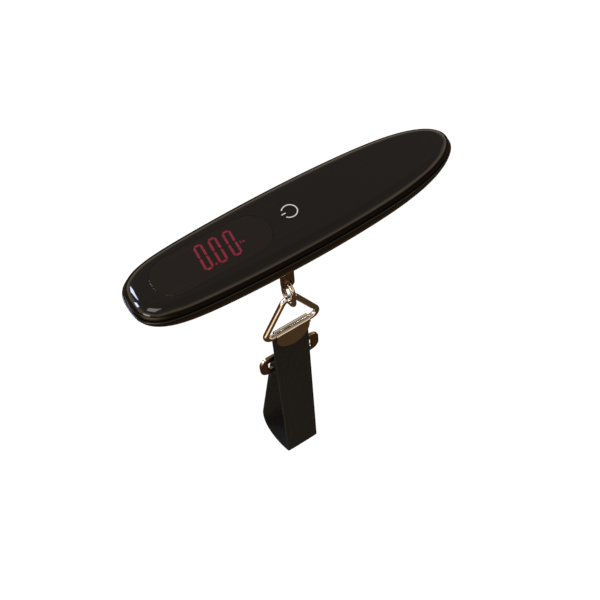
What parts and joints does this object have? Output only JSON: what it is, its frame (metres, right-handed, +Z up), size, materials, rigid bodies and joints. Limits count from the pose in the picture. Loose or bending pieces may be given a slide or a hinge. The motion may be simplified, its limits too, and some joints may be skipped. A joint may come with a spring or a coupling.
{
  "type": "digital luggage scale",
  "caption": "Slim hand-held digital hanging scale: oval handle with display window and touch key, steel hanger, link, triangular ring and webbing loop.",
  "frame": {"origin": "middle of the handle's length, on the seam between the top cover and the bottom shell, where a hand holds it", "axes": "+Z up out of the display face, +X along the handle away from the display, webbing hangs along -Z"},
  "size_m": [0.152, 0.0477, 0.2243],
  "materials": {
    "gloss_black": "polished black, faintly brown",
    "smoked_lens": "smoked, mirror gloss",
    "matt_black": "matt",
    "circuit_board": "solder mask",
    "led_white": "moulded white",
    "copper_foil": "bare foil",
    "nickel": "nickel plate",
    "cell_sleeve": "printed sleeve, plain",
    "aluminium": "milled",
    "gauge_foil": "amber film",
    "lead_red": "insulated wire",
    "lead_black": "insulated wire",
    "bronzed_steel": "polished steel that reflects warm and dark",
    "chrome": "bright plate",
    "webbing": "black ribbed webbing"
  },
  "bodies": {
    "handle": {"top_cover": "gloss_black", "display_lens": "smoked_lens", "bottom_shell": "gloss_black", "case_screw_1": "nickel", "case_screw_2": "nickel", "case_screw_3": "nickel", "case_screw_4": "nickel", "main_board": "circuit_board", "led_module": "led_white", "controller_chip": "matt_black", "touch_electrode": "copper_foil", "touch_spring": "nickel", "battery_cell_a": "cell_sleeve", "battery_cell_b": "cell_sleeve", "positive_contact": "nickel", "negative_contact": "nickel", "bridge_contact": "nickel", "negative_spring": "nickel", "bridge_spring": "nickel", "load_cell": "aluminium", "hanger_end_gauge": "gauge_foil", "fixed_end_gauge": "gauge_foil", "load_cell_screw_1": "nickel", "load_cell_screw_2": "nickel", "battery_lead_positive": "lead_red", "battery_lead_negative": "lead_black", "hanger_bush": "matt_black", "hanger_washer": "nickel"},
    "door": {"battery_door": "gloss_black"},
    "hanger": {"hanger_eye": "bronzed_steel", "hanger_nut": "nickel"},
    "link": {"chain_link": "chrome"},
    "ring": {"triangle_ring": "chrome"},
    "strap": {"strap_clamp": "chrome", "webbing_strap": "webbing"},
    "plate": {"buckle_plate": "bronzed_steel"}
  },
  "joints": [
    {"name": "door_hinge", "type": "hinge", "parent": "handle", "child": "door", "pos_m": [0.011, 0, -0.0146], "axis": [0, 1, 0], "range_deg": [0, 70]},
    {"name": "hanger_swivel", "type": "hinge", "parent": "handle", "child": "hanger", "pos_m": [-0.007, 0, -0.02], "axis": [0, 0, 1], "continuous": true},
    {"name": "link_swing", "type": "hinge", "parent": "hanger", "child": "link", "pos_m": [-0.007, 0, -0.0399], "axis": [0, 1, 0], "range_deg": [-60, 60]},
    {"name": "ring_swing", "type": "hinge", "parent": "link", "child": "ring", "pos_m": [-0.007, 0, -0.052], "axis": [1, 0, 0], "range_deg": [-60, 60]},
    {"name": "clamp_turn", "type": "hinge", "parent": "ring", "child": "strap", "pos_m": [-0.007, 0, -0.0764], "axis": [1, 0, 0], "range_deg": [-60, 60]},
    {"name": "plate_tilt", "type": "hinge", "parent": "strap", "child": "plate", "pos_m": [-0.007, 0.0052, -0.1145], "axis": [1, 0, 0], "range_deg": [-80, 10]}
  ]
}
